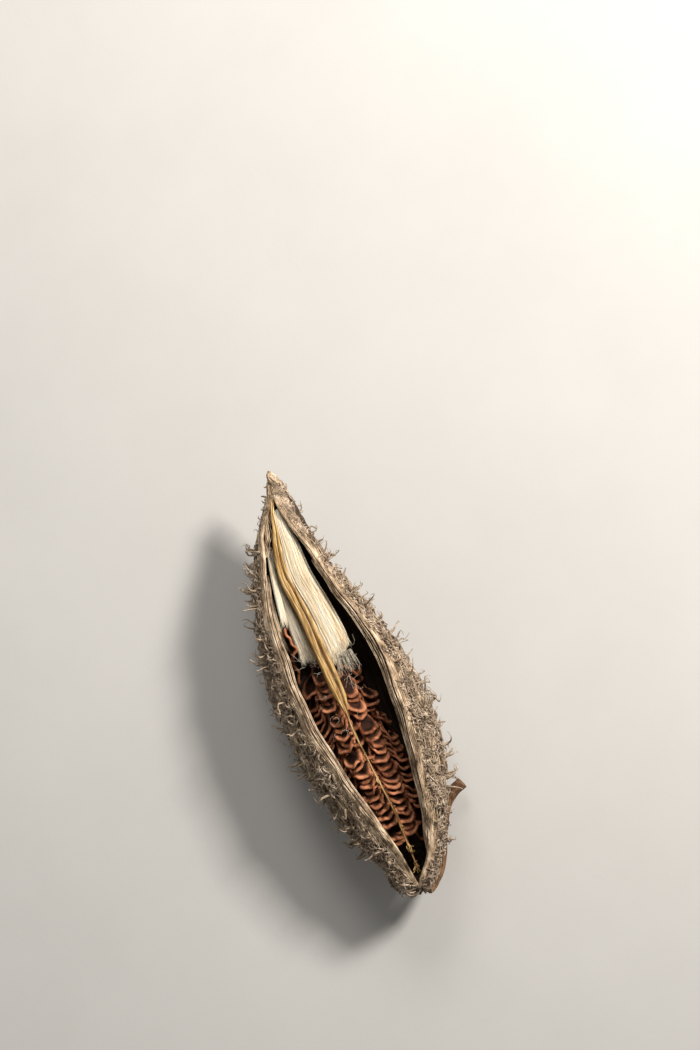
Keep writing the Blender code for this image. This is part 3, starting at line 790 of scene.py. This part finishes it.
# Bundles: node, tones of the strands with their shares, strands, table of from tip, left, right,
# top and bottom.
SILK = (
    ("silk_right", (0.84, 0.14, 0.02), 460, (
        (9.5, -1.6, -0.3, 16.3, 15.1), (12.0, -1.85, 0.0, 16.9, 14.8), (17.0, -2.5, 0.8, 17.6, 13.9),
        (23.0, -2.9, 1.2, 18.1, 12.9), (33.0, -1.3, 3.2, 18.7, 12.0), (40.0, -0.5, 4.2, 18.8, 14.8),
        (45.0, -0.2, 4.2, 18.6, 17.0),
    )),
    ("silk_left", (0.14, 0.86, 0.0), 240, (
        (17.0, -5.6, -4.9, 16.0, 15.0), (23.0, -6.9, -5.9, 16.2, 12.8), (33.0, -7.0, -4.7, 16.9, 11.4),
        (38.0, -6.9, -4.2, 17.1, 13.0), (43.0, -6.6, -4.0, 17.0, 15.6),
    )),
    ("silk_strand_1", (0.10, 0.0, 0.90), 70, (
        (17.0, -6.2, -5.7, 17.0, 16.5), (24.7, -7.4, -6.3, 17.7, 16.8), (29.0, -7.9, -6.7, 18.0, 17.1),
        (33.9, -8.4, -7.2, 18.0, 17.1),
    )),
    ("silk_strand_2", (0.30, 0.40, 0.30), 50, (
        (25.0, -8.8, -8.3, 15.4, 14.9), (32.0, -9.8, -8.9, 15.4, 14.6), (39.2, -9.9, -9.0, 15.0, 14.2),
    )),
)
CORE_POINTS = 20
SILK_FULLNESS = {"silk_right": 0.25, "silk_left": 0.5, "silk_strand_1": 0.8, "silk_strand_2": 0.8}
for number, (node, shares, strands, table) in enumerate(SILK):
    draw = np.random.default_rng(50 + number)
    table = np.array(table)
    first, last = table[0, 0], table[-1, 0]

    def oval(from_tip, turn, swell=1.0):
        """A point on the bundle's outline, turn running round it from its right edge.

        The bundle is full on its left side, where it leans on the placenta, and round on its right.
        """
        left, right, top, bottom = (column_at(table, column, from_tip) for column in range(1, 5))
        if node == "silk_right":
            left = left - (0.22 if swell > 0.95 else 0.0)
            top = top + 1.1 * np.clip((27.0 - from_tip) / 14.0, 0, 1)
        full = np.where((np.cos(turn) < 0) & (np.sin(turn) > 0), SILK_FULLNESS[node], 1.0)
        rise = np.sign(np.sin(turn)) * np.abs(np.sin(turn)) ** full
        across = (left + right) / 2 + swell * (right - left) / 2 * np.cos(turn)
        return spot(from_tip, across, (top + bottom) / 2 + swell * (top - bottom) / 2 * rise)

    turns = np.linspace(0, 2 * math.pi, CORE_POINTS, endpoint=False)
    rings = []
    for at in np.linspace(first, last - 1.0, 40):
        drawn_in = 0.9 - 0.6 * np.clip((at - last + 4.0) / 3.0, 0, 1) ** 2
        rings.append(oval(np.full(CORE_POINTS, at), turns, drawn_in))
    body_tone = silk_tones[int(np.argmax(shares))]
    add_piece(f"{node}_core", loft(f"{node}_core", rings), "silk", [body_tone], node)
    paths, radii, tones = [], [], []
    for strand in range(strands):
        turn = draw.uniform(-0.45, math.pi + 0.45) + draw.uniform(-0.1, 0.1)
        start = first + draw.uniform(-0.8, 1.0) + (draw.random() < 0.2) * draw.uniform(0, 8)
        slant = 1.5 * (1 + math.cos(turn)) if node == "silk_right" else 0.0
        from_tip = np.linspace(start, last - slant - draw.uniform(-0.5, 1.4), 22)
        wave = course(from_tip, 9.0, draw.uniform(0, 100))
        swell = 0.95 + (0.05 if node == "silk_right" and draw.random() > 0.1 else 0.28) * draw.random()
        path = oval(np.maximum(from_tip, first), turn + 0.18 * wave, swell)
        path[:, 1] += np.maximum(first - from_tip, 0) * MM
        fray = np.clip((from_tip - from_tip[-1] + 2.5) / 2.5, 0, 1) ** 2
        path += fray[:, None] * draw.normal(0, 0.22, 3) * MM
        paths.append(path)
        radii.append(draw.uniform(0.04, 0.09) * np.clip((from_tip[-1] - from_tip) / 2.0 + 0.3, 0.3, 1) * MM)
        shade = np.array(shares)
        if node == "silk_right":
            shade = shade + np.array((-0.75, 0.75, 0.0)) * np.clip(1.1 - turn / 1.0, 0, 1)
        tones.append(draw.choice(3, p=shade / shade.sum()))
    mesh = strand_mesh(f"{node}_hairs", paths, radii, tones)
    add_piece(f"{node}_hairs", mesh, "silk", silk_tones)


# Stray hairs have come loose from the silk and lie curled over the seeds.
silk_root = dry_material(
    "brown silk root", ((0.3, (0.08, 0.03, 0.015)), (0.5, (0.26, 0.11, 0.055)), (0.7, (0.50, 0.27, 0.16))),
    patch=1.0, grain=0.1, roughness=0.7, bump=0.2,
)
# Tufts: middle from the tip, across, height, spread, hairs, length.
TUFTS = (
    (44.0, 2.8, 18.9, 1.5, 20, 3.6),
    (42.8, -5.2, 17.3, 1.2, 30, 3.0),
    (48.0, 2.8, 19.2, 2.0, 10, 4.0),
    (51.0, -4.2, 18.8, 2.0, 10, 3.5),
    (58.0, -3.0, 18.8, 2.5, 5, 4.0),
    (17.5, -5.6, 17.6, 0.6, 8, 3.0),
)
HAIR_STEPS = 16
ROOT_HAIRS, ROOTS_FROM = 60, 43.2
draw = np.random.default_rng(61)
paths, radii, tones = [], [], []
for from_tip, across, height, spread, hairs, length in TUFTS:
    for _ in range(hairs):
        start = spot(from_tip + draw.normal(0, spread), across + draw.normal(0, spread * 0.6), height)
        heading, tilt = draw.uniform(0, 2 * math.pi), draw.uniform(-0.2, 0.3)
        turn = draw.normal(0, 0.16)
        steps = []
        for step in range(HAIR_STEPS):
            heading += turn + draw.normal(0, 0.12)
            tilt *= 0.85
            steps.append((math.cos(heading), math.sin(heading), tilt))
        path = start + np.cumsum(steps, axis=0) * length * draw.uniform(0.4, 1.1) / HAIR_STEPS * MM
        path[:, 2] += 0.3 * MM * np.sin(np.linspace(0, math.pi, HAIR_STEPS))
        paths.append(path)
        radii.append(np.full(HAIR_STEPS, draw.uniform(0.014, 0.030)) * MM)
        tones.append(0)
# Brown roots of the silk, fanned over the first seeds of the right rows.
for _ in range(ROOT_HAIRS):
    across, from_tip = draw.uniform(0.8, 4.4), np.linspace(ROOTS_FROM, draw.uniform(45.5, 48.6), 10)
    fan = across + (across - 2.4) * 0.12 * (from_tip - ROOTS_FROM) + draw.normal(0, 0.06, 10)
    height = 18.5 - 0.18 * (from_tip - ROOTS_FROM) + draw.uniform(-0.2, 0.3)
    paths.append(spot(from_tip, fan, height))
    radii.append(np.linspace(0.05, 0.03, 10) * MM)
    tones.append(1)
add_piece("stray_hairs", strand_mesh("stray_hairs", paths, radii, tones), "silk", [silk_white, silk_root])


# Each seed is a flat brown disc with a thick corky margin, rolled and wavy, round a dished middle,
# which is dark brown, darkened nearly to black as painted shade between the seeds. The seeds overlap
# like shingles, with their round ends towards the pod's base.
SEED_LENGTH, SEED_WIDTH = 7.0, 4.4
SEED_ASKEW = math.radians(6)
HALF_PITCH = 1.6
seed_coat = bpy.data.materials.new("seed coat")
seed_coat.use_nodes = True
nodes, links = seed_coat.node_tree.nodes, seed_coat.node_tree.links
shader = nodes["Principled BSDF"]
shader.inputs["Roughness"].default_value = 0.75
shader.inputs["Specular IOR Level"].default_value = 0.12
place = nodes.new("ShaderNodeTexCoord")
margin = nodes.new("ShaderNodeAttribute")
margin.attribute_name = "margin"
cork = noise_texture(seed_coat, place.outputs["Object"], 1.4, 5.0)
tint = nodes.new("ShaderNodeAttribute")
tint.attribute_name = "tint"
shade = nodes.new("ShaderNodeMath")
shade.operation = "MULTIPLY_ADD"
shade.inputs[1].default_value = 0.3
links.new(tint.outputs["Fac"], shade.inputs[0])
links.new(cork.outputs["Fac"], shade.inputs[2])
cork_stops = ((0.42, (0.12, 0.034, 0.014)), (0.85, (0.60, 0.245, 0.125)))
cork_tones = tone_ramp(seed_coat, shade.outputs["Value"], cork_stops)
# Painted shade: the seed's dark brown middle is darkened nearly to black.
middle_stops_with_shade = ((0.35, (0.012, 0.006, 0.004)), (0.75, (0.060, 0.020, 0.009)))
middle_tones_with_shade = tone_ramp(seed_coat, cork.outputs["Fac"], middle_stops_with_shade)
coat = nodes.new("ShaderNodeMix")
coat.data_type = "RGBA"
links.new(margin.outputs["Fac"], coat.inputs["Factor"])
links.new(middle_tones_with_shade.outputs["Color"], coat.inputs["A"])
links.new(cork_tones.outputs["Color"], coat.inputs["B"])
links.new(coat.outputs["Result"], shader.inputs["Base Color"])
roughen(seed_coat, noise_texture(seed_coat, place.outputs["Object"], 0.3), 0.5, 0.15)


def smooth_step(start, end, at):
    """0 before start, 1 after end, and a smooth rise between them."""
    t = np.clip((at - start) / (end - start), 0, 1)
    return t * t * (3 - 2 * t)


def add_seed(bm, draw, place, axes, size=1.0, segments=40, rings=20):
    """One seed in its place. axes are its directions across, lengthways and through, as rows."""
    layers = bm.verts.layers.float
    layer, tint = (layers.get(name) or layers.new(name) for name in ("margin", "tint"))
    ball = bmesh.ops.create_uvsphere(bm, u_segments=segments, v_segments=rings, radius=1.0)["verts"]
    at = np.array([corner.co for corner in ball])
    reach = np.hypot(at[:, 0], at[:, 1])
    turn = np.arctan2(at[:, 1], at[:, 0])
    core = 0.22 + 0.08 * np.cos(np.pi * np.clip(reach / 0.5, 0, 1))
    roll = 0.31 * np.sqrt(np.clip(1 - ((reach - 0.87) / 0.13) ** 2, 0, 1))
    thick = np.where(reach > 0.74, np.maximum(roll, core * (1 - smooth_step(0.76, 1.0, reach))), core)
    phases = draw.uniform(0, 2 * math.pi, 3)
    edge = smooth_step(0.45, 0.9, reach)
    wave = 0.26 * np.sin(3 * turn + phases[0]) + 0.22 * np.sin(5 * turn + phases[1])
    wave += 0.12 * np.sin(8 * turn + phases[2])
    lip = draw.uniform(0.3, 0.9) * smooth_step(-0.3, -0.95, at[:, 1])
    wide = 1 + 0.05 * np.sin(4 * turn + phases[1]) + 0.03 * np.sin(7 * turn + phases[0])
    across = at[:, 0] * (1 - 0.32 * at[:, 1]) * wide * SEED_WIDTH / 2
    lengthways = at[:, 1] * wide * SEED_LENGTH / 2
    through = np.sign(at[:, 2]) * thick + edge * (wave + lip) - 0.035 * across**2 - 0.02 * lengthways**2
    own = np.column_stack((across, lengthways, through)) * size * MM
    world = place + own @ axes
    margin_share = smooth_step(0.66, 0.78, reach)
    shade = draw.uniform(0, 1)
    for corner, point, share in zip(ball, world, margin_share):
        corner.co = point
        corner[layer] = share
        corner[tint] = shade


SEED_MASS = np.array(
    (
        (40.0, -2.4, 10.8, 4.6),
        (46.0, -2.0, 10.3, 6.6),
        (54.0, -1.3, 10.0, 8.0),
        (64.0, -0.2, 9.9, 8.5),
        (74.0, 1.0, 10.1, 7.6),
        (82.0, 1.9, 10.5, 5.6),
        (88.0, 2.2, 11.0, 3.6),
    )
)


def mass_middle(from_tip):
    """The middle of the seed mass at a distance from the tip."""
    return spot(from_tip, column_at(SEED_MASS, 1, from_tip), column_at(SEED_MASS, 2, from_tip))


def seed_axes(place, lengthways, through):
    """Unit directions across, lengthways and through, with the outer face away from the mass."""
    lengthways = lengthways * (1 if lengthways[1] > 0 else -1)
    outward = place - mass_middle(BEAK_Y - place[1] / MM)
    through = through * (1 if through @ outward > 0 else -1)
    return np.array((np.cross(lengthways, through), lengthways, through))


seed_nodes = sorted(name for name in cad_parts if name.startswith("seed_"))
seed_places = []
for number, node in enumerate(seed_nodes):
    corners = np.array([corner.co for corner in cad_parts[node].data.vertices])
    centre = corners.mean(axis=0)
    lengthways, _, through = np.linalg.svd(corners - centre, full_matrices=False)[2]
    axes = seed_axes(centre, lengthways, through)
    draw = np.random.default_rng(200 + number)
    askew = Euler(draw.normal(0, SEED_ASKEW, 3)).to_matrix()
    bm = bmesh.new()
    add_seed(bm, draw, centre, np.array(askew) @ axes)
    name = f"{node}_coat"
    add_piece(name, finish_mesh(bm, name), "seed_coat", [seed_coat], node)
    seed_places.append((centre, axes))

# Between every two seeds of a row another one shows, tucked under the first.
draw = np.random.default_rng(72)
bm = bmesh.new()
for centre, axes in seed_places[:-3]:
    if draw.random() > 0.92:
        continue
    from_tip = BEAK_Y - centre[1] / MM
    step = mass_middle(from_tip + HALF_PITCH) - mass_middle(from_tip)
    inward = mass_middle(from_tip) - centre
    inward /= np.linalg.norm(inward)
    askew = Euler(draw.normal(0, SEED_ASKEW, 3)).to_matrix()
    add_seed(bm, draw, centre + step + inward * 0.15 * MM, np.array(askew) @ axes, draw.uniform(0.9, 1.0))
add_piece("seeds_between", finish_mesh(bm, "seeds_between"), "seed_coat", [seed_coat])

# Deeper seeds show dark through the gaps between the outer ones.
draw = np.random.default_rng(71)
bm = bmesh.new()
for angle in (-80, -44, 0, 44, 80):
    for from_tip in np.arange(46.5 + draw.uniform(0, 2), 86.0, 3.6):
        turn = math.radians(angle + draw.uniform(-6, 6))
        outward = np.array((math.sin(turn), 0, math.cos(turn)))
        radius = column_at(SEED_MASS, 3, from_tip)
        centre = mass_middle(from_tip) + outward * (radius - 2.7) * MM
        lengthways = np.array((draw.uniform(-0.15, 0.15), 1, 0)) - outward * 0.45
        lengthways /= np.linalg.norm(lengthways)
        through = outward - lengthways * (outward @ lengthways)
        axes = seed_axes(centre, lengthways, through / np.linalg.norm(through))
        add_seed(bm, draw, centre, axes, 0.9, 24, 14)
add_piece("seeds_beneath", finish_mesh(bm, "seeds_beneath"), "seed_coat", [seed_coat])


# The stalk is the dry stem that carried the pod. Its bark has split into twisted rusty fibres, and
# it curls from the base up along the right wall to where it was broken off.
STALK = np.array(
    (
        (0, 100.1, 2.6, 10.0, 1.25),
        (1, 99.2, 4.5, 8.7, 1.2),
        (2, 96.3, 7.2, 7.1, 1.15),
        (3, 92.6, 9.0, 5.7, 1.1),
        (4, 88.5, 10.7, 4.6, 1.1),
        (5, 84.6, 12.7, 3.9, 1.15),
        (6, 82.0, 15.2, 3.7, 1.2),
        (7, 80.6, 18.0, 4.0, 1.3),
    )
)
BARK_FIBRES = 26
BARK_TWIST = 0.32
stalk_tones = [
    dry_material(
        "rusty bark",
        ((0.3, (0.060, 0.026, 0.011)), (0.5, (0.168, 0.084, 0.038)), (0.7, (0.378, 0.225, 0.117))),
        patch=1.2, grain=0.15, stretch=2.0, roughness=0.85, bump=0.4,
    ),
    dry_material(
        "pale bark", ((0.3, (0.28, 0.18, 0.10)), (0.5, (0.46, 0.33, 0.21)), (0.7, (0.64, 0.51, 0.37))),
        patch=1.2, grain=0.15, stretch=2.0, roughness=0.85, bump=0.4,
    ),
]
steps = np.linspace(0.12, 7, 80)
stalk_middle = spot(*(column_at(STALK, column, steps) for column in (1, 2, 3)))
stalk_radius = column_at(STALK, 4, steps)
forward = np.gradient(stalk_middle, axis=0)
forward /= np.linalg.norm(forward, axis=1, keepdims=True)
sideways = np.cross(forward, (0, 0, 1))
sideways /= np.linalg.norm(sideways, axis=1, keepdims=True)
upward = np.cross(sideways, forward)
draw = np.random.default_rng(81)
paths, radii, tones = [stalk_middle], [stalk_radius * 0.86 * MM], [0]
for fibre in range(BARK_FIBRES):
    phase = draw.uniform(0, 100)
    turn = 2 * math.pi * fibre / BARK_FIBRES + BARK_TWIST * steps + draw.uniform(-0.1, 0.1)
    wave = course(steps * 1.5, 1.0, phase)
    out = (stalk_radius * (0.9 + 0.06 * wave) * MM)[:, None]
    path = stalk_middle + out * (np.cos(turn)[:, None] * sideways + np.sin(turn)[:, None] * upward)
    paths.append(above_floor(path, 0.2 * MM))
    radii.append(draw.uniform(0.12, 0.24) * (1 + 0.3 * wave) * MM)
    tones.append(int(draw.random() < 0.45))
add_piece("stalk_bark", strand_mesh("stalk_bark", paths, radii, tones, 1), "stalk_bark", stalk_tones, "stalk")


# The pod lies on a plain pale floor under soft studio light, and the camera looks straight down.
FLOOR_SIDE = 6.0
bm = bmesh.new()
bmesh.ops.create_grid(bm, x_segments=1, y_segments=1, size=FLOOR_SIDE / 2)
floor_mesh = finish_mesh(bm, "floor")
floor_mesh.materials.append(
    dry_material(
        "pale floor", ((0.3, (0.60, 0.59, 0.575)), (0.7, (0.64, 0.63, 0.615))),
        patch=60.0, grain=1.0, roughness=0.8, bump=0.02,
    )
)
floor = bpy.data.objects.new("floor", floor_mesh)
bpy.context.scene.collection.objects.link(floor)

POD_TILT = math.radians(19.2)
VIEW_MIDDLE = spot(17.4, 13.2, 12.5)
VIEW_HEIGHT = 0.234
LENS, FILM = 100.0, 36.0
camera_data = bpy.data.cameras.new("camera")
camera_data.lens = LENS
camera_data.sensor_width = FILM
camera_data.clip_start = 0.01
camera = bpy.data.objects.new("camera", camera_data)
camera.location = Vector(VIEW_MIDDLE) + Vector((0, 0, VIEW_HEIGHT * LENS / FILM))
camera.rotation_euler = (0, 0, -POD_TILT)
bpy.context.scene.collection.objects.link(camera)
bpy.context.scene.camera = camera

picture_right = Vector((math.cos(POD_TILT), -math.sin(POD_TILT), 0))
picture_up = Vector((math.sin(POD_TILT), math.cos(POD_TILT), 0))
# Lights: how far right, up and above the pod's middle in metres, side in metres, power in watts.
LIGHTS = (
    ("key light", 0.34, 0.34, 0.38, 0.13, 4.6, (1.0, 0.95, 0.88)),
    ("top light", -0.10, 0.46, 0.36, 0.20, 1.3, (1.0, 0.97, 0.93)),
    ("fill light", -0.50, -0.30, 0.50, 0.50, 0.25, (1.0, 0.98, 0.95)),
)
for name, right, up, above, side, power, colour in LIGHTS:
    light_data = bpy.data.lights.new(name, "AREA")
    light_data.size = side
    light_data.energy = power
    light_data.color = colour
    light = bpy.data.objects.new(name, light_data)
    light.location = picture_right * right + picture_up * up + Vector((0, 0, above))
    light.rotation_euler = (-light.location).to_track_quat("-Z", "Y").to_euler()
    bpy.context.scene.collection.objects.link(light)
world = bpy.data.worlds.new("studio")
world.use_nodes = True
world.node_tree.nodes["Background"].inputs["Color"].default_value = (1.0, 0.97, 0.92, 1.0)
world.node_tree.nodes["Background"].inputs["Strength"].default_value = 0.16
bpy.context.scene.world = world
bpy.context.scene.view_settings.view_transform = "Standard"
